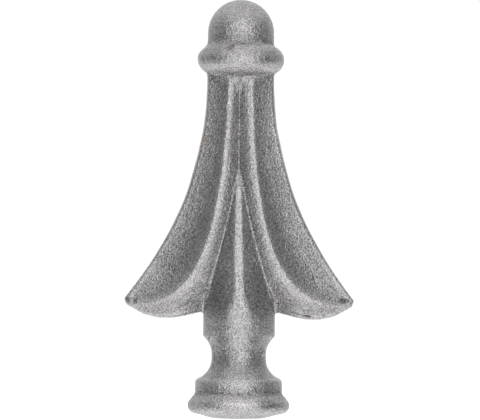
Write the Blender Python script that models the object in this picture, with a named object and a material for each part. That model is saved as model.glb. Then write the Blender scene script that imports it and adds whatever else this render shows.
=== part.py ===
"""A cast iron fence finial, 130 mm tall.

One solid casting from a two-part mould that parts on the XZ plane, so front
and back are alike: a domed cap over a ring, two flaring leaves with a keel
between them, and a waisted stem on a round foot. It stands on the origin, up
is +Z, and the front looks along -Y.
"""

import math

import bmesh
import bpy
from mathutils import Vector

MM = 0.001

# Cap and ring, round about Z.
HEIGHT = 130.0 * MM
DOME_RADIUS = 10.25 * MM
RING_Z = 111.25 * MM
RING_CENTRE_RADIUS = 8.57 * MM
RING_ROLL_RADIUS = 4.67 * MM

# Hidden core of the neck, with the cove that joins it to the ring.
CORE_RADIUS = 5.0 * MM
CORE_COVE_RADIUS = 2.2 * MM
CORE_FOOT_Z = 60.0 * MM

# Stem, waist, block and foot, as wide as these radii.
STEM_RADIUS = 11.1 * MM
STEM_FOOT_Z = 25.5 * MM
WAIST_RADIUS = 8.4 * MM
WAIST_TOP_Z = 19.85 * MM
WAIST_FOOT_Z = 18.3 * MM
UPPER_COVE_RADIUS = 7.0 * MM
LOWER_COVE_RADIUS = 6.55 * MM
BLOCK_RADIUS = 13.55 * MM
BLOCK_TOP_Z = 11.1 * MM
BLOCK_FOOT_Z = 7.7 * MM
FOOT_Z = 3.9 * MM
FOOT_CENTRE_RADIUS = 13.25 * MM
FOOT_ROLL_RADIUS = 2.6 * MM
FLAT_RADIUS = 8.1 * MM

# They are less deep than wide, and run into each other more softly in front and behind.
STEM_DEPTH = 10.9 * MM
WAIST_DEPTH = 9.1 * MM
BLOCK_DEPTH = 12.6 * MM
FOOT_DEPTH = 14.0 * MM
UPPER_SWEEP_Z = (30.5 * MM, 20.0 * MM)
LOWER_SWEEP_Z = (18.9 * MM, 9.6 * MM)
FOOT_BULGE_Z = (7.5 * MM, 4.3 * MM)

# Outer silhouette of a leaf: a half-width that flares by a power of the drop.
NECK_HALF_WIDTH = 10.33 * MM
FLARE_TOP_Z = 106.7 * MM
FLARE_DROP = 68.5 * MM
FLARE_REACH = 24.3 * MM
FLARE_POWER = 2.2
TIP_Z = 37.0 * MM
TIP_REACH = Vector((0.45, 0.0, -0.2)) * MM
LEAF_TOP_Z = 109.5 * MM

# Crest of a leaf, a cubic curve from the ring to the tip: (x, forward, z).
CREST = (
    Vector((3.35, 7.95, 109.5)) * MM,
    Vector((4.8, 10.25, 71.3)) * MM,
    Vector((7.9, 11.8, 32.4)) * MM,
    Vector((34.5, 1.9, 35.7)) * MM,
)

# Lower edge of a leaf, a cubic curve from the stem to the tip: (x, z).
LOWER_EDGE = (
    Vector((10.6, 33.0)) * MM,
    Vector((14.25, 33.2)) * MM,
    Vector((23.7, 27.0)) * MM,
    Vector((34.5, 34.6)) * MM,
)
CROTCH_SHARE = 0.76

# How a leaf is dished: the scoop outside its crest and the flank inside it.
PARTING_HALF = 0.15 * MM
OUTER_INSET = 0.55 * MM
INNER_INSET = 0.5 * MM
RIM_HALF_THICKNESS = 1.45 * MM
SCOOP_SLOPE = 0.51
SCOOP_TOP_Z = 97.0 * MM
SCOOP_FOOT_Z = 55.0 * MM
SCOOP_RIM_SHARE_TOP = 0.8
SCOOP_RIM_SHARE_FOOT = 0.44
FLANK_SOFTNESS = 0.33
FLANK_SPACING = 1.25
FLANK_RISE = 0.6
LIP_POWER = 1.65
LIP_START_SHARE = 0.86
OVERLAP = 0.3 * MM
CROTCH_DEPTH = 0.8 * MM
CROTCH_TOP_Z = 41.0 * MM
LIP_DEPTH = 4.3 * MM
LIP_CREST_SHARE = 0.36

# Keel between the leaves, a ridge that grows out of the valley at its apex.
APEX_Z = 76.2 * MM
APEX_DEPTH = 7.2 * MM
NECK_VALLEY_RISE = 0.007
RIDGE_RUN = 28.0 * MM
RIDGE_POWER = 1.35
RIDGE_HALF_AT_APEX = 0.55 * MM
RIDGE_HALF = 1.2 * MM
RIDGE_GROWTH_RUN = 23.0 * MM
VALLEY_START = 0.3 * MM
VALLEY_START_RUN = 3.0 * MM
VALLEY_SPREAD = 0.192
VALLEY_CURL = 1.55
FLANK_SLOPE = 0.69
RUN_OUT_Z = (41.0 * MM, 31.0 * MM)
RUN_OUT_HALF = 6.4 * MM
RUN_OUT_POWER = 2.7
KEEL_OVERLAP = 1.0 * MM

# How finely the curved forms are divided.
TURN_STEPS = 40
RIBS = 27


def clamp(value):
    """Hold a value between 0 and 1."""
    return max(0.0, min(1.0, value))


def mix(a, b, share):
    """Blend from a to b."""
    return a + (b - a) * share


def ease(share):
    """Ease a share in and out."""
    return share * share * (3.0 - 2.0 * share)


def cubic(points, t):
    """Point on a cubic Bezier curve."""
    s = 1.0 - t
    a, b, c, d = points
    return a * s**3 + b * (3.0 * s * s * t) + c * (3.0 * s * t * t) + d * t**3


def arc(centre_r, centre_z, radius, start, end, steps):
    """Points (r, z) of an arc, from one angle to another in degrees."""
    points = []
    for i in range(steps + 1):
        angle = math.radians(mix(start, end, i / steps))
        points.append((centre_r + radius * math.cos(angle), centre_z + radius * math.sin(angle)))
    return points


def fall_share(z, top, foot):
    """Share of the way down from one height to another."""
    return clamp((top - z) / (top - foot))


def foot_depth(half_width, z):
    """Half-depth of stem, waist, block and foot at one height."""
    if z > WAIST_TOP_Z:
        return mix(STEM_DEPTH, WAIST_DEPTH, ease(fall_share(z, *UPPER_SWEEP_Z)))
    sweep = fall_share(z, *LOWER_SWEEP_Z)
    depth = mix(WAIST_DEPTH, BLOCK_DEPTH, sweep**3 * (10.0 - 15.0 * sweep + 6.0 * sweep * sweep))
    rest = 1.0 - fall_share(z, *FOOT_BULGE_Z)
    depth += (FOOT_DEPTH - BLOCK_DEPTH) * math.sqrt(1.0 - rest * rest)
    if z < FOOT_Z:
        depth *= half_width / (FOOT_CENTRE_RADIUS + FOOT_ROLL_RADIUS)
    return depth


def cap_rows():
    """Rows (radius, z) of the cap, the ring and the neck's hidden core, from the top down."""
    dome_z = HEIGHT - DOME_RADIUS
    ring_start = math.degrees(math.acos((DOME_RADIUS - RING_CENTRE_RADIUS) / RING_ROLL_RADIUS))
    cove_z = RING_Z - RING_ROLL_RADIUS - CORE_COVE_RADIUS
    crown = [(DOME_RADIUS * math.sin(math.radians(4.0)), HEIGHT)]
    dome = arc(0.0, dome_z, DOME_RADIUS, 81.0, 0.0, 9)
    ring = arc(RING_CENTRE_RADIUS, RING_Z, RING_ROLL_RADIUS, ring_start, -90.0, 12)
    core_cove = arc(CORE_RADIUS + CORE_COVE_RADIUS, cove_z, CORE_COVE_RADIUS, 90.0, 180.0, 4)
    return crown + dome + ring + core_cove + [(CORE_RADIUS, CORE_FOOT_Z)]


def stem_rows():
    """Rows (half-width, z) of the stem, the waist, the block and the foot, from the keel's end down."""
    stem_angle = math.degrees(math.acos(1.0 - (STEM_RADIUS - WAIST_RADIUS) / UPPER_COVE_RADIUS))
    block_angle = math.degrees(math.acos(1.0 - (BLOCK_RADIUS - 0.6 * MM - WAIST_RADIUS) / LOWER_COVE_RADIUS))
    stem = [(STEM_RADIUS, UPPER_SWEEP_Z[0]), (STEM_RADIUS, STEM_FOOT_Z + 0.5 * MM)]
    upper_cove = arc(
        WAIST_RADIUS + UPPER_COVE_RADIUS, WAIST_TOP_Z, UPPER_COVE_RADIUS, 180.0 - stem_angle, 180.0, 6
    )
    lower_cove = arc(
        WAIST_RADIUS + LOWER_COVE_RADIUS, WAIST_FOOT_Z, LOWER_COVE_RADIUS, 180.0, 180.0 + block_angle, 8
    )
    block = [
        (BLOCK_RADIUS, BLOCK_TOP_Z),
        (BLOCK_RADIUS, LOWER_SWEEP_Z[1]),
        (BLOCK_RADIUS, BLOCK_FOOT_Z + 0.15 * MM),
        (BLOCK_RADIUS + 0.2 * MM, BLOCK_FOOT_Z - 0.35 * MM),
        (BLOCK_RADIUS + 0.75 * MM, BLOCK_FOOT_Z - 1.0 * MM),
    ]
    foot = arc(FOOT_CENTRE_RADIUS, FOOT_Z, FOOT_ROLL_RADIUS, 50.0, -58.0, 9)
    return stem + upper_cove + lower_cove + block + foot + [(FLAT_RADIUS, 0.0)]


def round_section(half_width, half_depth, z):
    """Closed section of a round form at one height, from the front round to the right."""
    turn = [math.tau * i / TURN_STEPS for i in range(TURN_STEPS)]
    return [Vector((half_width * math.sin(a), -half_depth * math.cos(a), z)) for a in turn]


def make_loft(name, sections, collection):
    """Closed solid through a row of closed sections that have the same number of points."""
    form = bmesh.new()
    loops = [[form.verts.new(point) for point in section] for section in sections]
    count = len(loops[0])
    for upper, lower in zip(loops, loops[1:]):
        for i in range(count):
            j = (i + 1) % count
            form.faces.new((upper[i], upper[j], lower[j], lower[i]))
    form.faces.new(loops[0])
    form.faces.new(loops[-1])
    bmesh.ops.recalc_face_normals(form, faces=form.faces)
    mesh = bpy.data.meshes.new(name)
    form.to_mesh(mesh)
    form.free()
    mesh.shade_smooth()
    body = bpy.data.objects.new(name, mesh)
    collection.objects.link(body)
    return body


def make_cap(name, collection):
    """Cap, ring and the neck's hidden core."""
    return make_loft(name, [round_section(radius, radius, z) for radius, z in cap_rows()], collection)


def valley_x(z):
    """Distance from the middle to the valley between keel and leaf, nothing above the apex."""
    drop = max(0.0, APEX_Z - z)
    start = VALLEY_START * math.sqrt(clamp(drop / VALLEY_START_RUN))
    return start + drop * (VALLEY_SPREAD + VALLEY_CURL * drop)


def ridge_depth(z):
    """How far forward the keel's ridge stands, and the neck's valley above the apex."""
    if z > APEX_Z:
        return APEX_DEPTH + (z - APEX_Z) * NECK_VALLEY_RISE
    rest = 1.0 - fall_share(z, APEX_Z, APEX_Z - RIDGE_RUN)
    return STEM_DEPTH - (STEM_DEPTH - APEX_DEPTH) * rest**RIDGE_POWER


def ridge_half(z):
    """Half the width of the keel's ridge, which spreads at its foot until the bar is whole."""
    grown = mix(RIDGE_HALF_AT_APEX, RIDGE_HALF, fall_share(z, APEX_Z, APEX_Z - RIDGE_GROWTH_RUN))
    return mix(grown, RUN_OUT_HALF, fall_share(z, *RUN_OUT_Z) ** RUN_OUT_POWER)


def bar_depth(x, z):
    """Forward depth of the round bar that the keel is cut from, which the stem carries on."""
    return ridge_depth(z) * math.sqrt(1.0 - clamp(x / STEM_RADIUS) ** 2)


def flank_depth(x, z):
    """Forward depth of the flat cut beside the keel's ridge."""
    half = ridge_half(z)
    return bar_depth(half, z) - FLANK_SLOPE * (x - half)


def keel_depth(x, z):
    """Forward depth of the keel: the bar, less what the cuts take off it."""
    if x <= ridge_half(z):
        return bar_depth(x, z)
    return min(bar_depth(x, z), flank_depth(x, z))


def keel_section(z):
    """Closed section of the keel at one height, from the front ridge round to it again."""
    reach = min(valley_x(z) + KEEL_OVERLAP, STEM_RADIUS)
    half = ridge_half(z)
    steps = TURN_STEPS // 4
    quarter = []
    for i in range(steps):
        cut = half * i / 2
        if i > 2:
            cut = mix(half, 0.985 * reach, math.sin(0.5 * math.pi * (i - 2) / (steps - 3)))
        stem = STEM_RADIUS * math.sin(0.5 * math.pi * i / steps)
        x = mix(cut, stem, ease(fall_share(z, *RUN_OUT_Z)))
        quarter.append((x, keel_depth(x, z)))
    quarter.append((reach, 0.0))
    right = [(x, -depth) for x, depth in quarter] + [(x, depth) for x, depth in quarter[-2::-1]]
    left = [(-x, y) for x, y in right[-2:0:-1]]
    return [Vector((x, y, z)) for x, y in right + left]


def make_post(name, collection):
    """Keel, stem and foot, from above the keel's apex down to the foot's flat."""
    heights = [APEX_Z + 0.2 * MM, APEX_Z - 0.5 * MM, APEX_Z - 1.5 * MM]
    heights += [mix(heights[2], RUN_OUT_Z[0], i / 7) for i in range(1, 8)]
    heights += [mix(*RUN_OUT_Z, i / 8) for i in range(1, 9)]
    nose = [Vector((p.x * 0.3, p.y * 0.86, APEX_Z + 0.9 * MM)) for p in keel_section(APEX_Z)]
    keel = [keel_section(z) for z in heights]
    stem = [round_section(width, foot_depth(width, z), z) for width, z in stem_rows()]
    return make_loft(name, [nose] + keel + stem, collection)


def outer_edge(t):
    """Point (x, z) of a leaf's outer silhouette, from the ring to the tip."""
    z = mix(LEAF_TOP_Z, TIP_Z, 1.5 * t - 0.5 * t * t)
    drop = max(0.0, FLARE_TOP_Z - z) / FLARE_DROP
    return Vector((NECK_HALF_WIDTH + FLARE_REACH * drop**FLARE_POWER, z))


def inner_edge(t):
    """Point (x, z) of a leaf's inner edge: hidden under the valley, then the lower edge."""
    if t > CROTCH_SHARE:
        return cubic(LOWER_EDGE, (t - CROTCH_SHARE) / (1.0 - CROTCH_SHARE))
    z = mix(LEAF_TOP_Z, LOWER_EDGE[0].y, (t / CROTCH_SHARE) ** 0.9)
    return Vector((min(valley_x(z) - OVERLAP - INNER_INSET, LOWER_EDGE[0].x), z))


def inner_depth(z):
    """Depth of a leaf at its hidden inner edge, from which it rises through the valley's line."""
    level = min(flank_depth(valley_x(z), z), ridge_depth(z)) - FLANK_RISE * (OVERLAP + INNER_INSET)
    return mix(level, CROTCH_DEPTH, ease(fall_share(z, CROTCH_TOP_Z, LOWER_EDGE[0].y)))


def lip_depth(x):
    """Depth along a leaf's lower edge: rising steadily from the crotch, then falling away to the tip."""
    share = clamp((x - LOWER_EDGE[0].x) / (LOWER_EDGE[3].x - LOWER_EDGE[0].x))
    if share < LIP_CREST_SHARE:
        return mix(CROTCH_DEPTH, LIP_DEPTH, math.sin(0.5 * math.pi * share / LIP_CREST_SHARE))
    fallen = (share - LIP_CREST_SHARE) / (1.0 - LIP_CREST_SHARE)
    return mix(RIM_HALF_THICKNESS, LIP_DEPTH, math.cos(0.5 * math.pi * fallen))


def scoop_share(z, across):
    """Share of a scoop's rise from its rim to the crest, straighter towards the neck."""
    rim_share = mix(SCOOP_RIM_SHARE_TOP, SCOOP_RIM_SHARE_FOOT, fall_share(z, SCOOP_TOP_Z, SCOOP_FOOT_Z))
    return mix(across**3, across, rim_share)


def flank_share(t, across):
    """Share of a leaf's fall inside its crest: round, then straight, and rounder along the lower lip."""
    fall = (across**3 + FLANK_SOFTNESS**3) ** (1.0 / 3.0) - FLANK_SOFTNESS
    fall /= (1.0 + FLANK_SOFTNESS**3) ** (1.0 / 3.0) - FLANK_SOFTNESS
    return mix(fall, across**LIP_POWER, clamp((t - CROTCH_SHARE) / (LIP_START_SHARE - CROTCH_SHARE)))


def leaf_section(t, side):
    """Closed section of a leaf, across it from the outer edge to the inner one and back behind."""
    outer = outer_edge(t)
    crest_point = cubic(CREST, t)
    crest = Vector((crest_point.x, crest_point.z))
    inner = inner_edge(t)
    scoop = (crest - outer).length
    flank = (inner - crest).length
    inset_out = min(OUTER_INSET, 0.4 * scoop)
    inset_in = min(INNER_INSET, 0.4 * flank)
    rim_out = max(RIM_HALF_THICKNESS, crest_point.y - SCOOP_SLOPE * scoop)
    rim_out = min(rim_out, crest_point.y)
    rim_in = inner_depth(inner.y)
    if t > CROTCH_SHARE:
        rim_in = min(lip_depth(inner.x), crest_point.y)
    points = []
    for i in range(3):
        rise = math.sin(math.radians(30.0 * i))
        run = (1.0 - math.cos(math.radians(30.0 * i))) * inset_out / scoop
        points.append((outer.lerp(crest, run), mix(PARTING_HALF, rim_out, rise)))
    for i in range(8):
        across = i / 7
        run = mix(inset_out / scoop, 1.0, across)
        points.append((outer.lerp(crest, run), mix(rim_out, crest_point.y, scoop_share(crest.y, across))))
    for i in range(1, 7):
        across = (i / 6) ** FLANK_SPACING
        run = (1.0 - inset_in / flank) * across
        points.append((crest.lerp(inner, run), mix(crest_point.y, rim_in, flank_share(t, across))))
    for i in range(1, 3):
        fall = math.cos(math.radians(45.0 * i))
        run = 1.0 - (1.0 - math.sin(math.radians(45.0 * i))) * inset_in / flank
        points.append((crest.lerp(inner, run), mix(PARTING_HALF, rim_in, fall)))
    front = [Vector((side * p.x, -depth, p.y)) for p, depth in points]
    back = [Vector((p.x, -p.y, p.z)) for p in reversed(front)]
    return front + back


def make_leaf(name, side, collection):
    """One leaf, front and back, from inside the ring to its tip."""
    sections = [leaf_section(i / RIBS, side) for i in range(RIBS + 1)]
    end = sections[-1]
    middle = sum(end, Vector()) / len(end)
    reach = Vector((side * TIP_REACH.x, 0.0, TIP_REACH.z))
    sections.append([middle.lerp(point, 0.5) + reach for point in end])
    return make_loft(name, sections, collection)


def join_into(body, others):
    """Fuse other solids into a body."""
    for other in others:
        other.hide_render = True
        other.display_type = "WIRE"
        union = body.modifiers.new("join " + other.name, "BOOLEAN")
        union.operation = "UNION"
        union.solver = "EXACT"
        union.object = other


def make_iron():
    """Raw grey cast iron with the skin that the sand leaves."""
    material = bpy.data.materials.new("cast_iron")
    material.use_nodes = True
    shader = material.node_tree.nodes["Principled BSDF"]
    shader.inputs["Base Color"].default_value = (0.29, 0.285, 0.28, 1.0)
    shader.inputs["Metallic"].default_value = 0.85
    shader.inputs["Roughness"].default_value = 0.5
    return material


def main():
    for old in list(bpy.data.objects):
        bpy.data.objects.remove(old, do_unlink=True)
    finial = bpy.data.collections.new("fence_finial")
    forms = bpy.data.collections.new("joined_forms")
    bpy.context.scene.collection.children.link(finial)
    bpy.context.scene.collection.children.link(forms)

    casting = make_cap("finial_casting", finial)
    leaves = [make_leaf("leaf_right", 1.0, forms), make_leaf("leaf_left", -1.0, forms)]
    join_into(casting, leaves + [make_post("post", forms)])
    casting.data.materials.append(make_iron())


main()
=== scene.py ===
"""Looks of the cast iron fence finial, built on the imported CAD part.

The casting is one piece. It is the CAD solid, remeshed finely enough to carry
what the solid leaves out: rounded creases, the sand's grain, pits, dents and
rust. Sizes are in metres, apart from the tables that say mm. The finial stands
on the origin and faces -Y.
"""

import math

import bpy
import numpy as np
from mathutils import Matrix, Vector, noise


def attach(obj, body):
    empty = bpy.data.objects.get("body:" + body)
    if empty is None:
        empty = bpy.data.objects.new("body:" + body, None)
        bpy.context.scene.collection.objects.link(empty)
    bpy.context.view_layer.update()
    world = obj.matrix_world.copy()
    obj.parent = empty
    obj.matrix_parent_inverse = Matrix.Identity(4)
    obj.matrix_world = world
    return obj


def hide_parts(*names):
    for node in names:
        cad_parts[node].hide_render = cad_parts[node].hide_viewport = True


MM = 0.001

# The photograph's frame and the scale at which it shows the finial.
PHOTO_WIDTH = 480
PHOTO_HEIGHT = 420
PHOTO_SCALE = 0.3112 * MM
FOOT_ROW = 417.8
AXIS_COLUMN = 239.8
CAMERA_ROLL = math.radians(0.42)
CAMERA_DISTANCE = 1.2
SENSOR_WIDTH = 36.0

# Two values under a name in X, Y or Z are a range: a share eases from 0 at the first to 1 at the second.

# Fine mesh of the casting, with fewer faces behind BACK_Y.
VOXEL = 0.34 * MM
BACK_Y = 1.5 * MM
FACES_KEPT = 0.61
SMOOTH_ROUNDS = 10
SMOOTH_SHARES = (0.6, -0.62)

# Skin that the sand mould leaves: thickness, grain and broad waves. The scales count waves in a metre.
SKIN = 0.06 * MM
GRAIN_HEIGHT = 0.045 * MM
GRAIN_SCALE = 900.0
FINE_GRAIN_SCALE = 1500.0
FINE_GRAIN_SHARE = 0.6
WAVE_HEIGHT = 0.06 * MM
WAVE_SCALE = 160.0

# How far a vertex stands out of its surroundings when it takes the crests' full lightening, which is rubbed
# wear and painted highlight together; sunken vertices take painted shade.
WEAR_AND_SHADE_HEIGHT = 0.12 * MM
WEAR_AND_SHADE_ROUNDS = 24

# What belongs to the front alone sets in over this depth.
FRONT_Y = (0.0, -2.0 * MM)

# The casting isn't quite even. The leaves' flared ends tilt down a little to the right.
SKIRT_TILT = 0.2 * MM
SKIRT_Z = (60.0 * MM, 39.0 * MM)
SKIRT_FOOT_Z = (24.0 * MM, 27.0 * MM)
SKIRT_START_X = (10.0 * MM, 15.0 * MM)
SKIRT_REACH = 35.0 * MM

# The forms between the crests stand to the left. In mm, by height:
# (z, distance from the middle to a crest, shift in the middle, shift of the right crest).
LEAN_Y = (-2.0 * MM, -4.0 * MM)
LEAN_ROWS = (
    (36.0, 20.5, 0.0, 0.0),
    (44.0, 13.9, 0.1, 0.7),
    (51.0, 10.9, 0.25, 0.75),
    (58.0, 8.4, 0.3, 0.75),
    (68.0, 6.1, 0.35, 0.55),
    (80.0, 4.5, 0.4, 0.6),
    (90.0, 3.7, 0.4, 0.4),
    (98.0, 3.3, 0.4, 0.0),
    (106.0, 3.0, 0.3, 0.0),
)

# The flanks of the stem's front are pressed back, which leaves a narrower ridge than the solid's.
RIDGE_PINCH = 0.35 * MM
RIDGE_PINCH_X = (1.8 * MM, 5.4 * MM)
RIDGE_PINCH_Y = (0.0, -3.0 * MM)
RIDGE_PINCH_Z = (22.0 * MM, 27.0 * MM)
RIDGE_PINCH_END_Z = (38.0 * MM, 33.0 * MM)

# The ring sits a little high, tilts down to the right and is a little wide.
RING_RISE = 0.3 * MM
RING_TILT = 0.15 * MM
RING_SPREAD = 0.2 * MM
RING_REACH = 13.3 * MM
RING_Z = (105.5 * MM, 108.0 * MM)
RING_END_Z = (116.0 * MM, 111.5 * MM)

# The ring's upper shoulder starts higher in front than at the sides.
SHOULDER_RISE = 0.75 * MM
SHOULDER_Y = (-3.0 * MM, -7.0 * MM)
SHOULDER_Z = (112.5 * MM, 115.4 * MM)
SHOULDER_END_Z = (120.5 * MM, 116.0 * MM)

# The leaves' outer edges bulge a little half way up.
BULGE = 0.22 * MM
BULGE_Z = (69.0 * MM, 77.0 * MM)
BULGE_END_Z = (90.5 * MM, 84.0 * MM)

# Where the ring's spread and the leaves' bulge set in, from the middle outward.
SIDE_X = (6.0 * MM, 10.0 * MM)

# Inside corners that are filled: below and above the ring, under the leaves and in the groove above the foot.
# In mm: (left end, right end, height where it starts, is full, is still full and ends). Every zone also fades
# over ZONE_END_FADE, in mm, at its left and right end.
FILLETS = (
    (-9.0, 9.0, 102.5, 104.5, 109.0, 110.0),
    (-20.0, 7.0, 113.5, 114.5, 117.0, 118.5),
    (-18.0, -10.8, 30.5, 31.5, 36.0, 39.0),
    (10.8, 18.0, 30.5, 31.5, 36.0, 39.0),
    (-13.2, 13.2, 6.8, 7.3, 7.5, 8.0),
)
FILLET_ROUNDS = 90
ZONE_END_FADE = 2.0

# The edge between the stem and the waist, which is rubbed round. It is given as the corners are.
SOFT_EDGES = ((-10.8, 10.8, 23.0, 25.0, 28.5, 30.5),)
SOFT_SHARE = 0.6

# The step between each leaf and the keel. Half the width between the two grows with the drop below their top.
STEP_TOP_Z = 76.2 * MM
STEP_FOOT_Z = 32.5 * MM
STEP_START = 0.3 * MM
STEP_START_RUN = 3.0 * MM
STEP_SPREAD = 0.192
STEP_CURL = 1.55

# The step is evened in cells along and across it, each row mixed with those at (distance in rows, share).
STEP_REACH = 1.5 * MM
STEP_ROW = 0.5 * MM
STEP_COLUMN = 0.15 * MM
STEP_MIXES = ((1, 0.8), (1, 0.8), (1, 0.8), (2, 0.3))
STEP_EVEN_X = (STEP_REACH, 0.5 * STEP_REACH)
STEP_EVEN_Z = (STEP_FOOT_Z, STEP_FOOT_Z + 2.0 * MM)
STEP_EVEN_END_Z = (STEP_TOP_Z - STEP_START_RUN, STEP_TOP_Z - 3.0 * STEP_START_RUN)

# The painted highlight along the step: how far out it runs, its soft edge, and how faint it is towards the
# top.
STEP_LINE_OUT = 0.16 * MM
STEP_LINE_X = (0.5 * MM, 0.1 * MM)
STEP_LINE_Z = (STEP_FOOT_Z - 2.0 * MM, STEP_FOOT_Z)
STEP_LINE_STRONG_Z = (62.0 * MM, 40.0 * MM)
STEP_LINE_FAINT = 0.15

# The bead at the step's lower end, with its slopes on the inner and the outer side.
BEAD_HEIGHT = 0.45 * MM
BEAD_Z = (44.0 * MM, 37.0 * MM)
BEAD_INNER_X = (0.7 * MM, 0.1 * MM)
BEAD_OUTER_X = (1.7 * MM, 0.3 * MM)

# Marks on the front: (x, z, half-width, half-height, turn in degrees, height, shade), with the sizes in mm.
# A height under nothing is a pit, and a shade under nothing is a dark spot. Many shades are painted light or
# painted shade, as the groups say.
MARKS_AND_PAINTED_LIGHT = (
    # The pit in the ring, the ring's bump and dark left end, and painted shade on the ring's darker parts.
    (-3.3, 115.0, 1.7, 0.95, 42.0, -0.45, -0.65),
    (-2.3, 112.3, 0.5, 0.4, 0.0, 0.06, 0.35),
    (-7.2, 114.8, 3.4, 1.3, 0.0, 0.0, -0.2),
    (-7.4, 110.6, 2.6, 1.1, 0.0, 0.0, -0.3),
    (7.0, 110.6, 2.6, 1.1, 0.0, 0.0, -0.35),
    (-11.7, 111.3, 0.35, 1.4, 15.0, -0.1, -0.6),
    (-10.9, 113.7, 0.4, 0.9, -35.0, -0.05, -0.4),
    # A scratch on the dome.
    (-0.5, 126.5, 0.25, 2.8, 0.0, -0.05, -0.12),
    # Iron between the crests with painted light on it, and painted light on the neck under the ring, where
    # shade falls.
    (-0.4, 105.6, 2.2, 1.2, 0.0, 0.5, 0.8),
    (-0.6, 102.8, 0.8, 1.8, 0.0, 0.2, 0.2),
    (0.0, 107.3, 9.5, 0.9, 0.0, 0.0, 0.6),
    (-8.3, 106.6, 2.2, 1.2, 0.0, 0.0, 0.5),
    (8.3, 106.6, 2.4, 1.2, 0.0, 0.0, 0.5),
    # Painted light on parts of the right leaf and on the groove between the crests.
    (16.3, 59.4, 10.0, 3.0, -68.0, 0.0, 0.3),
    (11.2, 86.0, 9.0, 1.9, -81.0, 0.0, 0.6),
    (0.0, 87.0, 2.2, 7.0, 0.0, 0.0, 0.6),
    # Painted light on the lower ends of both leaves beside the keel, and painted highlights along the beads.
    (-13.2, 37.9, 2.7, 2.0, 0.0, 0.0, 0.8),
    (13.2, 37.9, 2.5, 2.0, 0.0, 0.0, 0.6),
    (-12.2, 34.4, 1.7, 1.7, 0.0, 0.0, 0.3),
    (12.0, 34.4, 1.7, 1.7, 0.0, 0.0, 0.3),
    (-10.9, 37.1, 0.8, 2.6, -25.0, 0.0, 0.7),
    (10.7, 38.0, 0.8, 2.2, 25.0, 0.0, 0.5),
    # A dent and a bump at the keel's point, and painted shade on the keel's flanks.
    (3.8, 74.8, 0.8, 1.2, 0.0, -0.1, 0.1),
    (-1.9, 70.8, 0.7, 1.5, 5.0, 0.15, 0.0),
    (-6.9, 39.5, 3.2, 8.5, -10.0, 0.0, -0.4),
    (6.6, 39.5, 3.2, 8.5, 10.0, 0.0, -0.4),
    # The dark line along the right lip, and pits and a scratch in the right leaf.
    (17.4, 32.7, 2.6, 0.45, -14.0, -0.1, -0.7),
    (21.2, 31.85, 1.9, 0.45, -8.0, -0.12, -1.0),
    (26.4, 35.5, 0.45, 0.4, 0.0, -0.12, -0.4),
    (28.6, 35.2, 0.35, 0.3, 0.0, -0.1, -0.4),
    (30.6, 35.6, 0.35, 0.35, 0.0, -0.1, -0.4),
    (23.4, 43.2, 0.35, 1.6, 12.0, -0.2, -0.35),
    (24.1, 40.2, 0.4, 0.4, 0.0, -0.1, -0.3),
    # Dark pits in the leaves' tips.
    (32.6, 36.7, 1.6, 1.1, 0.0, -0.25, -0.8),
    (34.1, 36.9, 0.4, 1.0, -15.0, -0.1, -0.6),
    (-34.5, 36.9, 0.6, 1.0, -15.0, -0.1, -0.8),
    (-32.5, 36.2, 0.75, 0.7, 0.0, -0.2, -0.8),
    # Two pale bumps on the stem, and painted shade on its flanks.
    (-2.9, 27.9, 0.4, 0.35, 0.0, 0.08, 0.5),
    (1.8, 27.3, 0.4, 0.35, 0.0, 0.08, 0.5),
    (-5.4, 30.0, 2.0, 4.5, 0.0, 0.0, -0.25),
    (5.6, 30.0, 2.0, 4.5, 0.0, 0.0, -0.25),
    (-5.0, 24.4, 2.4, 2.0, 0.0, 0.0, -0.5),
    (5.0, 24.4, 2.4, 2.0, 0.0, 0.0, -0.5),
    # The chip in the waist's right edge, and the dark line along its left edge.
    (8.5, 21.4, 0.6, 0.5, 0.0, -0.3, -0.2),
    (7.3, 20.0, 0.5, 0.6, 0.0, 0.3, 1.0),
    (-9.5, 24.6, 0.4, 1.6, -18.0, -0.1, -0.8),
    (-8.2, 21.6, 0.35, 1.6, -28.0, -0.1, -0.8),
    (-7.5, 18.8, 0.35, 1.6, 0.0, -0.1, -0.8),
    (-7.9, 16.2, 0.35, 1.4, 25.0, -0.1, -0.7),
    # A darker patch on the block, painted light in the groove and on the foot's seam, painted shade and
    # painted light on the foot's bands, and dark spots along the foot's rim.
    (5.6, 9.3, 2.4, 1.2, 0.0, 0.0, -0.3),
    (0.0, 7.4, 12.0, 0.6, 0.0, 0.0, 0.25),
    (0.0, 4.9, 13.0, 0.6, 0.0, 0.0, 0.5),
    (8.4, 4.5, 3.0, 1.5, 0.0, 0.0, -0.5),
    (-12.1, 4.3, 2.2, 1.2, 0.0, 0.0, 0.8),
    (-8.0, 2.4, 5.0, 0.8, 0.0, 0.0, 0.35),
    (-6.0, 0.9, 0.9, 0.4, 0.0, -0.1, -0.35),
    (1.0, 0.7, 0.5, 0.4, 0.0, -0.1, -0.35),
    (6.2, 0.9, 2.6, 0.4, 8.0, -0.1, -0.3),
)

# Faint rust on the left leaf's edge and in the pit. In mm: (x, z, half-width, half-height, turn in degrees,
# strength).
RUST = (
    (-11.5, 85.8, 1.1, 2.8, -21.0, 1.0),
    (-3.3, 115.2, 1.7, 0.95, 42.0, 0.5),
)

# A mark eases in from its rim to its full part, both as shares of its size. Marks fade out towards the back,
# and faces whose normal points further back than MARKS_NORMAL_Y take none.
SPOT_RIM = (1.25, 0.4)
MARKS_Y = (1.0 * MM, -0.5 * MM)
MARKS_NORMAL_Y = 0.3

# The iron's grains, each as scale and detail.
MOTTLE_GRAIN = (140.0, 3.0)
SHEEN_GRAIN = (500.0, 2.0)
BUMP_GRAIN = (1700.0, 2.0)
SAND_GRAIN = (2700.0, 0.5)

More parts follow.
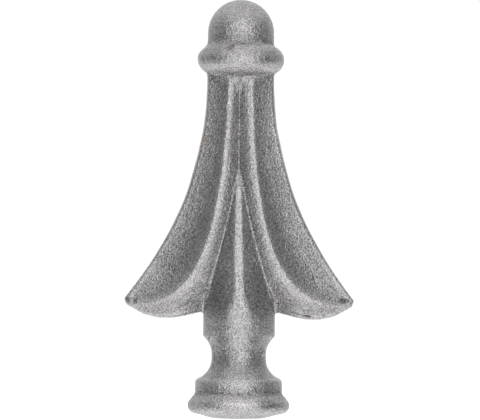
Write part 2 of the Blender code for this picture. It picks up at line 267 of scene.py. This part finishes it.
# The iron's tones: brightness, colour or roughness at values from 0 to 1 of what they follow.
MOTTLE = ((0.3, (0.85, 0.815, 0.83)), (0.7, (1.0, 0.965, 0.985)))
# Crests lighter as rubbed wear and painted highlight, hollows darker as painted shade.
WEAR_AND_SHADE_TONES = ((0.0, 0.36), (0.5, 0.45), (1.0, 0.61))
# Painted shade in hollows, by how open the surface lies round each point.
HOLLOW_SHADE = ((0.25, 0.74), (0.75, 1.0))
ROUGH_SAND = ((0.36, 0.1), (0.64, 1.0))
FINE_SAND = ((0.35, 0.3), (0.65, 1.0))
# Tones of the marks: dark for pits and dark spots, and painted light and painted shade where marks stand in
# for them.
MARK_AND_LIGHT_TONES = ((0.0, (0.03, 0.025, 0.02)), (0.5, (0.62, 0.62, 0.62)), (1.0, (1.0, 1.0, 1.0)))
RUSTED = ((0.0, (1.0, 1.0, 1.0)), (1.0, (1.0, 0.78, 0.74)))
ROUGHNESS = ((0.3, 0.22), (0.7, 0.34))
METALLIC = 0.95
BRIGHTENING = 0.62
BUMP_HEIGHT = 0.25 * MM
# Reach and rays of the painted shade in hollows.
HOLLOW_REACH = 9.0 * MM
HOLLOW_SAMPLES = 8

# Brightness of the light round the finial, by the angle away from the camera's side, in degrees. It eases over
# to that overhead and underneath by how steeply a direction points up or down.
AROUND = (
    (0, 1.7), (15, 1.56), (25, 1.32), (43, 0.99), (58, 0.23), (67, 0.11), (77, 0.21), (95, 0.42), (117, 0.6),
    (150, 0.84), (180, 0.85),
)
LIGHT_TURN = math.radians(3.5)
OVERHEAD = 1.05
OVERHEAD_Z = (0.2, 0.9)
UNDERNEATH = 1.35
UNDERNEATH_Z = (0.0, -0.75)
TENT_STRENGTH = 2.0

FLOOR_RADIUS = 0.25
FLOOR_GREY = 0.85
FLOOR_GLOW = 1.0
BACKDROP_RADIUS = 5.0
BACKDROP_GLOW = 1.05


def ease(values, start, end):
    """Ease from 0 at one value to 1 at another."""
    share = np.clip((values - start) / (end - start), 0.0, 1.0)
    return share * share * (3.0 - 2.0 * share)


def mesh_arrays(mesh):
    """Vertex places and edge ends of a mesh as arrays."""
    places = np.empty(len(mesh.vertices) * 3)
    mesh.vertices.foreach_get("co", places)
    ends = np.empty(len(mesh.edges) * 2, np.int64)
    mesh.edges.foreach_get("vertices", ends)
    return places.reshape(-1, 3), ends.reshape(-1, 2)


def vertex_normals(mesh):
    """Normal of every vertex as an array."""
    normals = np.empty(len(mesh.vertices) * 3)
    mesh.vertices.foreach_get("normal", normals)
    return normals.reshape(-1, 3)


def set_places(mesh, places):
    """Write vertex places back to a mesh."""
    mesh.vertices.foreach_set("co", places.astype(np.float32).ravel())
    mesh.update()


def store(mesh, name, values):
    """Keep one number for each vertex in the mesh."""
    mesh.attributes.new(name, "FLOAT", "POINT").data.foreach_set("value", values.astype(np.float32))


def neighbour_counts(ends, count):
    """Number of neighbours of each vertex."""
    return np.bincount(ends.ravel(), minlength=count).astype(float)


def neighbour_mean(values, ends, counts):
    """Mean of each vertex's neighbours, column by column."""
    total = np.empty_like(values)
    for column in range(values.shape[1]):
        part = np.bincount(ends[:, 0], values[ends[:, 1], column], len(values))
        part += np.bincount(ends[:, 1], values[ends[:, 0], column], len(values))
        total[:, column] = part
    return total / counts[:, None]


def apply_modifiers(piece):
    """Turn an object's modifiers into its mesh."""
    graph = bpy.context.evaluated_depsgraph_get()
    old, piece.data = piece.data, bpy.data.meshes.new_from_object(piece.evaluated_get(graph))
    piece.modifiers.clear()
    bpy.data.meshes.remove(old)


def fine_copy(node, name):
    """New object with the CAD node's shape, remeshed in small even faces, and in larger ones at the back."""
    mesh = node.data.copy()
    mesh.name = name
    piece = bpy.data.objects.new(name, mesh)
    bpy.context.scene.collection.objects.link(piece)
    remesh = piece.modifiers.new("remesh", "REMESH")
    remesh.mode = "VOXEL"
    remesh.voxel_size = VOXEL
    remesh.use_smooth_shade = True
    apply_modifiers(piece)
    back = piece.vertex_groups.new(name="back")
    back.add([vertex.index for vertex in piece.data.vertices if vertex.co.y > BACK_Y], 1.0, "REPLACE")
    thin = piece.modifiers.new("thin", "DECIMATE")
    thin.ratio = FACES_KEPT
    thin.vertex_group = back.name
    apply_modifiers(piece)
    piece.vertex_groups.clear()
    return piece


def smooth(places, ends):
    """Smooth a mesh without shrinking it: each round pulls in, then pushes back out."""
    counts = neighbour_counts(ends, len(places))
    for _ in range(SMOOTH_ROUNDS):
        for share in SMOOTH_SHARES:
            places = places + share * (neighbour_mean(places, ends, counts) - places)
    return places


def step_x(z):
    """Half the width between the steps at the sides of the keel."""
    drop = np.maximum(STEP_TOP_Z - z, 0.0)
    start = STEP_START * np.sqrt(np.minimum(drop / STEP_START_RUN, 1.0))
    return start + drop * (STEP_SPREAD + STEP_CURL * drop)


def spread_rows(grid, distance, share):
    """Mix each row of a grid with the rows at a distance above and below it."""
    padded = np.pad(grid, ((distance, distance), (0, 0)))
    return grid + share * (padded[2 * distance:] + padded[:-2 * distance])


def look_up(grid, row, column):
    """Values of a grid between its rows and columns."""
    above, left = np.floor(row).astype(int), np.floor(column).astype(int)
    down, right = row - above, column - left
    upper = grid[above, left] * (1.0 - right) + grid[above, left + 1] * right
    lower = grid[above + 1, left] * (1.0 - right) + grid[above + 1, left + 1] * right
    return upper * (1.0 - down) + lower * down


def evening(across, y, z):
    """How far vertices near a step move in depth, so that it is alike all along."""
    column = (across + STEP_REACH) / STEP_COLUMN
    row = (z - STEP_FOOT_Z) / STEP_ROW
    shape = (int(row.max()) + 3, int(column.max()) + 3)
    cell = row.round().astype(int) * shape[1] + column.round().astype(int)
    total = np.bincount(cell, y, shape[0] * shape[1]).reshape(shape)
    count = np.bincount(cell, minlength=shape[0] * shape[1]).reshape(shape).astype(float)
    for spread in STEP_MIXES:
        total, count = spread_rows(total, *spread), spread_rows(count, *spread)
    level = look_up(total / np.maximum(count, 1e-9), row, column)
    share = ease(np.abs(across), *STEP_EVEN_X)
    share *= ease(z, *STEP_EVEN_Z)
    share *= ease(z, *STEP_EVEN_END_Z)
    share *= look_up(np.minimum(count, 1.0), row, column)
    return share * (level - y)


def even_step(places):
    """Draw the steps beside the keel as clean lines, where the small faces cut them into stairs."""
    x, y, z = places.T
    evened = places.copy()
    for side in (-1.0, 1.0):
        across = side * x - step_x(z)
        near = (np.abs(across) < STEP_REACH) & (y < 0.0)
        near &= (z > STEP_FOOT_Z) & (z < STEP_TOP_Z - STEP_START_RUN)
        evened[near, 1] += evening(across[near], y[near], z[near])
    return evened


def add_beads(places):
    """Raise the lower ends of the steps into beads, as iron ran into the corner of the mould there."""
    x, y, z = places.T
    off = np.abs(x) - step_x(z) - STEP_LINE_OUT
    bead = np.where(off < 0.0, ease(-off, *BEAD_INNER_X), ease(off, *BEAD_OUTER_X))
    bead *= ease(z, *BEAD_Z) * ease(y, *FRONT_Y)
    beaded = places.copy()
    beaded[:, 1] -= BEAD_HEIGHT * bead
    return beaded


def step_highlight(places):
    """Share of the painted highlight along the steps: 1 on it, 0 beside it, and stronger towards the foot."""
    x, y, z = places.T
    off = np.abs(np.abs(x) - step_x(z) - STEP_LINE_OUT)
    line = ease(off, *STEP_LINE_X) * ease(y, *FRONT_Y) * ease(z, *STEP_LINE_Z)
    return line * (STEP_LINE_FAINT + (1.0 - STEP_LINE_FAINT) * ease(z, *STEP_LINE_STRONG_Z))


def lean_left(x, y, z):
    """How far the forms between the crests stand to the left."""
    heights, crests, middles, rights = np.array(LEAN_ROWS).T * MM
    share = x / np.interp(z, heights, crests)
    middle = np.interp(z, heights, middles, 0.0, 0.0)
    right = np.interp(z, heights, rights, 0.0, 0.0)
    lean = np.where(share < 0.0, middle * (1.0 + share), middle + (right - middle) * share)
    lean = np.where(share > 1.0, right * (2.0 - share), lean)
    return np.maximum(lean, 0.0) * ease(y, *LEAN_Y)


def warp(places):
    """Lean, tilt and bulge the forms as this casting has them."""
    x, y, z = places.T
    skirt = ease(z, *SKIRT_Z) * ease(z, *SKIRT_FOOT_Z) * ease(np.abs(x), *SKIRT_START_X)
    shoulder = ease(z, *SHOULDER_Z) * ease(z, *SHOULDER_END_Z) * ease(y, *SHOULDER_Y)
    ring = ease(z, *RING_Z) * ease(z, *RING_END_Z)
    pinch = ease(z, *RIDGE_PINCH_Z) * ease(z, *RIDGE_PINCH_END_Z) * ease(np.abs(x), *RIDGE_PINCH_X)
    bulge = ease(z, *BULGE_Z) * ease(z, *BULGE_END_Z)
    side = np.sign(x) * ease(np.abs(x), *SIDE_X)
    warped = places.copy()
    warped[:, 0] -= lean_left(x, y, z)
    warped[:, 0] += side * (RING_SPREAD * ring + BULGE * bulge)
    warped[:, 1] += RIDGE_PINCH * pinch * ease(y, *RIDGE_PINCH_Y)
    warped[:, 2] -= SKIRT_TILT * skirt * x / SKIRT_REACH
    warped[:, 2] += SHOULDER_RISE * shoulder + ring * (RING_RISE - RING_TILT * x / RING_REACH)
    return warped


def zone_share(places, zones):
    """Share of each place in zones of the front and back: 1 inside, 0 outside, with soft rims."""
    x, _, z = places.T / MM
    share = np.zeros(len(places))
    for left, right, low, on, off, high in zones:
        upright = ease(z, low, on) * ease(z, high, off)
        share += upright * ease(x, left, left + ZONE_END_FADE) * ease(x, right, right - ZONE_END_FADE)
    return share


def fill_corners(mesh, ends):
    """Fill the inside corners, where each round only moves the surface outward, and round the soft edges."""
    places, _ = mesh_arrays(mesh)
    normals = vertex_normals(mesh)
    counts = neighbour_counts(ends, len(places))
    filled, softened = zone_share(places, FILLETS), zone_share(places, SOFT_EDGES)
    for _ in range(FILLET_ROUNDS):
        outward = np.einsum("ij,ij->i", neighbour_mean(places, ends, counts) - places, normals)
        move = filled * np.maximum(outward, 0.0) + SOFT_SHARE * softened * outward
        places = places + normals * move[:, None]
    set_places(mesh, places)


def store_wear_and_shade(mesh, ends, line):
    """Store how far each vertex stands out: 1 on crests and on the line, 0.5 on plain faces, 0 in hollows. It
    lightens crests as rubbed wear and painted highlight, and darkens hollows as painted shade.
    """
    places, _ = mesh_arrays(mesh)
    counts = neighbour_counts(ends, len(places))
    around = places
    for _ in range(WEAR_AND_SHADE_ROUNDS):
        around = neighbour_mean(around, ends, counts)
    standing = np.einsum("ij,ij->i", places - around, vertex_normals(mesh))
    wear_and_shade = np.clip(0.5 + 0.5 * standing / WEAR_AND_SHADE_HEIGHT, 0.0, 1.0)
    store(mesh, "wear_and_shade", np.maximum(wear_and_shade, line))


def roughen(mesh):
    """Push the vertices in and out as the sand mould leaves them."""
    places, _ = mesh_arrays(mesh)
    height = np.empty(len(places))
    for i, place in enumerate(places):
        p = Vector(place)
        grain = noise.noise(p * GRAIN_SCALE) + FINE_GRAIN_SHARE * noise.noise(p * FINE_GRAIN_SCALE)
        height[i] = SKIN + GRAIN_HEIGHT * grain + WAVE_HEIGHT * noise.noise(p * WAVE_SCALE)
    set_places(mesh, places + vertex_normals(mesh) * height[:, None])


def spot_share(places, x, z, half_width, half_height, turn):
    """Share of each place in an oval seen from the front: 1 in its middle, 0 outside, with a soft rim."""
    across, up = places[:, 0] - x * MM, places[:, 2] - z * MM
    cos, sin = math.cos(math.radians(turn)), math.sin(math.radians(turn))
    away = np.hypot((across * cos + up * sin) / half_width, (up * cos - across * sin) / half_height) / MM
    return ease(away, *SPOT_RIM)


def mark(mesh):
    """Press the marks into the front, and store their shade, which is painted light or painted shade in many
    marks, and the rust.
    """
    places, _ = mesh_arrays(mesh)
    normals = vertex_normals(mesh)
    front = np.where(normals[:, 1] < MARKS_NORMAL_Y, ease(places[:, 1], *MARKS_Y), 0.0)
    height, shade, rust = np.zeros((3, len(places)))
    for *spot, rise, tone in MARKS_AND_PAINTED_LIGHT:
        share = front * spot_share(places, *spot)
        height += rise * MM * share
        shade += tone * share
    for *spot, strength in RUST:
        rust += strength * front * spot_share(places, *spot)
    set_places(mesh, places + normals * height[:, None])
    store(mesh, "shade", 0.5 + 0.5 * shade)
    store(mesh, "rust", rust)


def flatten_underside(mesh):
    """Push what hangs below the flat underside back up to it."""
    places, _ = mesh_arrays(mesh)
    places[:, 2] = np.maximum(places[:, 2], 0.0)
    set_places(mesh, places)


class Tree:
    """The nodes of a material or a world, with short ways to add more."""

    def __init__(self, owner):
        owner.use_nodes = True
        self.nodes = owner.node_tree.nodes
        self.link = owner.node_tree.links.new
        self.place = self.nodes.new("ShaderNodeTexCoord").outputs

    def feed(self, socket, value):
        """Link an output to a socket, or set a plain value on it."""
        if isinstance(value, bpy.types.NodeSocket):
            self.link(value, socket)
        else:
            socket.default_value = value

    def stored(self, name):
        """A number that the mesh keeps for each vertex."""
        node = self.nodes.new("ShaderNodeAttribute")
        node.attribute_name = name
        return node.outputs["Fac"]

    def grain(self, scale, detail):
        """Cloudy noise fixed to the object."""
        node = self.nodes.new("ShaderNodeTexNoise")
        node.inputs["Scale"].default_value = scale
        node.inputs["Detail"].default_value = detail
        self.link(self.place["Object"], node.inputs["Vector"])
        return node.outputs["Fac"]

    def openness(self):
        """How open the surface lies round a point: 1 on open faces, less in hollows, where it sets the painted
        shade.
        """
        node = self.nodes.new("ShaderNodeAmbientOcclusion")
        node.samples = HOLLOW_SAMPLES
        node.only_local = True
        node.inputs["Distance"].default_value = HOLLOW_REACH
        return node.outputs["AO"]

    def ramp(self, source, stops, curve="LINEAR"):
        """Colours by a number: each stop is the number and its colour."""
        node = self.nodes.new("ShaderNodeValToRGB")
        node.color_ramp.interpolation = curve
        elements = node.color_ramp.elements
        while len(elements) < len(stops):
            elements.new(1.0)
        for element, (at, colour) in zip(elements, stops):
            element.position = at
            element.color = (*colour, 1.0)
        self.link(source, node.inputs["Fac"])
        return node.outputs["Color"]

    def greys(self, source, stops, curve="LINEAR"):
        """Greys by a number: each stop is the number and its brightness."""
        return self.ramp(source, [(at, (value, value, value)) for at, value in stops], curve)

    def mix(self, share, first, second, blend="MIX"):
        """Two colours mixed by a share."""
        node = self.nodes.new("ShaderNodeMix")
        node.data_type = "RGBA"
        node.blend_type = blend
        self.feed(node.inputs["Factor"], share)
        self.feed(node.inputs["A"], first)
        self.feed(node.inputs["B"], second)
        return node.outputs["Result"]

    def product(self, first, *others):
        """Colours multiplied with each other."""
        for other in others:
            first = self.mix(1.0, first, other, "MULTIPLY")
        return first

    def calculate(self, operation, *values):
        """One sum on numbers or outputs."""
        node = self.nodes.new("ShaderNodeMath")
        node.operation = operation
        for socket, value in zip(node.inputs, values):
            self.feed(socket, value)
        return node.outputs["Value"]

    def eased(self, source, start, end):
        """Ease from 0 at one value of an output to 1 at another."""
        node = self.nodes.new("ShaderNodeMapRange")
        node.interpolation_type = "SMOOTHSTEP"
        node.inputs["From Min"].default_value = start
        node.inputs["From Max"].default_value = end
        self.link(source, node.inputs["Value"])
        return node.outputs["Result"]


def make_iron():
    """Raw cast iron: grey metal under a sandy skin, brighter where it is rubbed, with painted highlight on
    crests and along the steps, painted shade in the hollows, and painted light and shade in many marks.
    """
    material = bpy.data.materials.new("cast_iron_skin")
    tree = Tree(material)
    wear_and_shade, sand = tree.stored("wear_and_shade"), tree.grain(*SAND_GRAIN)
    # Mottle, then rubbed wear with painted highlight on crests and painted shade in hollows, then painted
    # shade by how open the surface lies.
    iron_tone_and_shade = tree.product(
        tree.ramp(tree.grain(*MOTTLE_GRAIN), MOTTLE),
        tree.greys(wear_and_shade, WEAR_AND_SHADE_TONES),
        tree.greys(tree.openness(), HOLLOW_SHADE),
    )
    # Sand grain, the marks' shade, which holds painted light and painted shade in many places, and rust.
    skin_and_painted_light = tree.product(
        tree.mix(wear_and_shade, tree.greys(sand, ROUGH_SAND), tree.greys(sand, FINE_SAND)),
        tree.ramp(tree.stored("shade"), MARK_AND_LIGHT_TONES),
        tree.ramp(tree.stored("rust"), RUSTED),
    )
    bright = tree.nodes.new("ShaderNodeGamma")
    bright.inputs["Gamma"].default_value = BRIGHTENING
    tree.link(tree.product(iron_tone_and_shade, skin_and_painted_light), bright.inputs["Color"])

    bump = tree.nodes.new("ShaderNodeBump")
    bump.inputs["Distance"].default_value = BUMP_HEIGHT
    tree.link(tree.grain(*BUMP_GRAIN), bump.inputs["Height"])

    shader = tree.nodes["Principled BSDF"]
    shader.inputs["Metallic"].default_value = METALLIC
    tree.link(bright.outputs["Color"], shader.inputs["Base Color"])
    tree.link(tree.greys(tree.grain(*SHEEN_GRAIN), ROUGHNESS), shader.inputs["Roughness"])
    tree.link(bump.outputs["Normal"], shader.inputs["Normal"])
    return material


def make_casting(frame):
    """The finial itself, in place of the CAD node."""
    piece = fine_copy(frame["nodes"]["finial_casting"], "finial_skin")
    mesh = piece.data
    places, ends = mesh_arrays(mesh)
    places = add_beads(even_step(smooth(places, ends)))
    set_places(mesh, warp(places))
    fill_corners(mesh, ends)
    store_wear_and_shade(mesh, ends, step_highlight(places))
    roughen(mesh)
    mark(mesh)
    flatten_underside(mesh)
    mesh.shade_smooth()
    mesh.materials.clear()
    mesh.materials.append(make_iron())
    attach(piece, "root")
    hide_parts("finial_casting")


def make_camera():
    """Level camera in front, set to the photograph's frame and to the object's lean in it."""
    data = bpy.data.cameras.new("camera")
    data.sensor_width = SENSOR_WIDTH
    data.lens = SENSOR_WIDTH * CAMERA_DISTANCE / (PHOTO_WIDTH * PHOTO_SCALE)
    camera = bpy.data.objects.new("camera", data)
    across = (PHOTO_WIDTH / 2 - AXIS_COLUMN) * PHOTO_SCALE
    height = (FOOT_ROW - PHOTO_HEIGHT / 2) * PHOTO_SCALE
    camera.location = (across, -CAMERA_DISTANCE, height)
    camera.rotation_euler = (math.pi / 2, -CAMERA_ROLL, 0.0)
    bpy.context.scene.collection.objects.link(camera)
    bpy.context.scene.camera = camera


def make_glow(name, grey, roughness, specular, glow):
    """Plain grey material that shines white by itself."""
    material = bpy.data.materials.new(name)
    material.use_nodes = True
    shader = material.node_tree.nodes["Principled BSDF"]
    shader.inputs["Base Color"].default_value = (grey, grey, grey, 1.0)
    shader.inputs["Roughness"].default_value = roughness
    shader.inputs["Specular IOR Level"].default_value = specular
    shader.inputs["Emission Color"].default_value = (1.0, 1.0, 1.0, 1.0)
    shader.inputs["Emission Strength"].default_value = glow
    return material


def make_floor():
    """Round of pale paper under the finial, which glows evenly. The metal doesn't mirror it."""
    bpy.ops.mesh.primitive_circle_add(
        vertices=96, radius=FLOOR_RADIUS, fill_type="NGON", location=(0.0, 0.0, 0.0)
    )
    floor = bpy.context.object
    floor.name = "studio_floor"
    paper = make_glow("studio_floor", grey=FLOOR_GREY, roughness=0.9, specular=0.1, glow=FLOOR_GLOW)
    floor.data.materials.append(paper)
    floor.visible_glossy = False


def make_backdrop():
    """Even white surround that only the camera sees."""
    bpy.ops.mesh.primitive_uv_sphere_add(segments=48, ring_count=24, radius=BACKDROP_RADIUS)
    backdrop = bpy.context.object
    backdrop.name = "studio_backdrop"
    white = make_glow("studio_backdrop", grey=0.0, roughness=1.0, specular=0.0, glow=BACKDROP_GLOW)
    backdrop.data.materials.append(white)
    backdrop.visible_diffuse = False
    backdrop.visible_glossy = False
    backdrop.visible_transmission = False
    backdrop.visible_volume_scatter = False
    backdrop.visible_shadow = False


def make_tent():
    """Light tent round the finial: brightest in front, dim at the sides, paler behind and overhead."""
    world = bpy.data.worlds.new("studio")
    tree = Tree(world)
    parts = tree.nodes.new("ShaderNodeSeparateXYZ")
    tree.link(tree.place["Generated"], parts.inputs["Vector"])
    x, y, z = (parts.outputs[axis] for axis in "XYZ")
    turn = tree.calculate("ARCTAN2", x, tree.calculate("MULTIPLY", y, -1.0))
    away = tree.calculate("ABSOLUTE", tree.calculate("SUBTRACT", turn, LIGHT_TURN))
    stops = [(angle / 180.0, bright / TENT_STRENGTH) for angle, bright in AROUND]
    whole = tree.greys(tree.calculate("DIVIDE", away, math.pi), stops, "CARDINAL")
    for bright, heights in ((OVERHEAD, OVERHEAD_Z), (UNDERNEATH, UNDERNEATH_Z)):
        grey = bright / TENT_STRENGTH
        whole = tree.mix(tree.eased(z, *heights), whole, (grey, grey, grey, 1.0))
    background = tree.nodes["Background"]
    background.inputs["Strength"].default_value = TENT_STRENGTH
    tree.link(whole, background.inputs["Color"])
    bpy.context.scene.world = world


def make_studio():
    """Soft light all round, pale paper underneath and white behind."""
    bpy.context.scene.view_settings.view_transform = "Standard"
    make_tent()
    make_floor()
    make_backdrop()


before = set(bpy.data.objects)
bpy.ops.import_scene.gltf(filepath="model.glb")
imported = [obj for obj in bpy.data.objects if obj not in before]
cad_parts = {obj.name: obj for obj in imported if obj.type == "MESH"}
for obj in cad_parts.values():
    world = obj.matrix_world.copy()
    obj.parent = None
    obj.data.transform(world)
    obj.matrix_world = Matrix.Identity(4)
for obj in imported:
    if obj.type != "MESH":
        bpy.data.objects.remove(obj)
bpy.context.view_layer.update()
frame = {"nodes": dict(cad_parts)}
make_casting(frame)
make_studio()
make_camera()
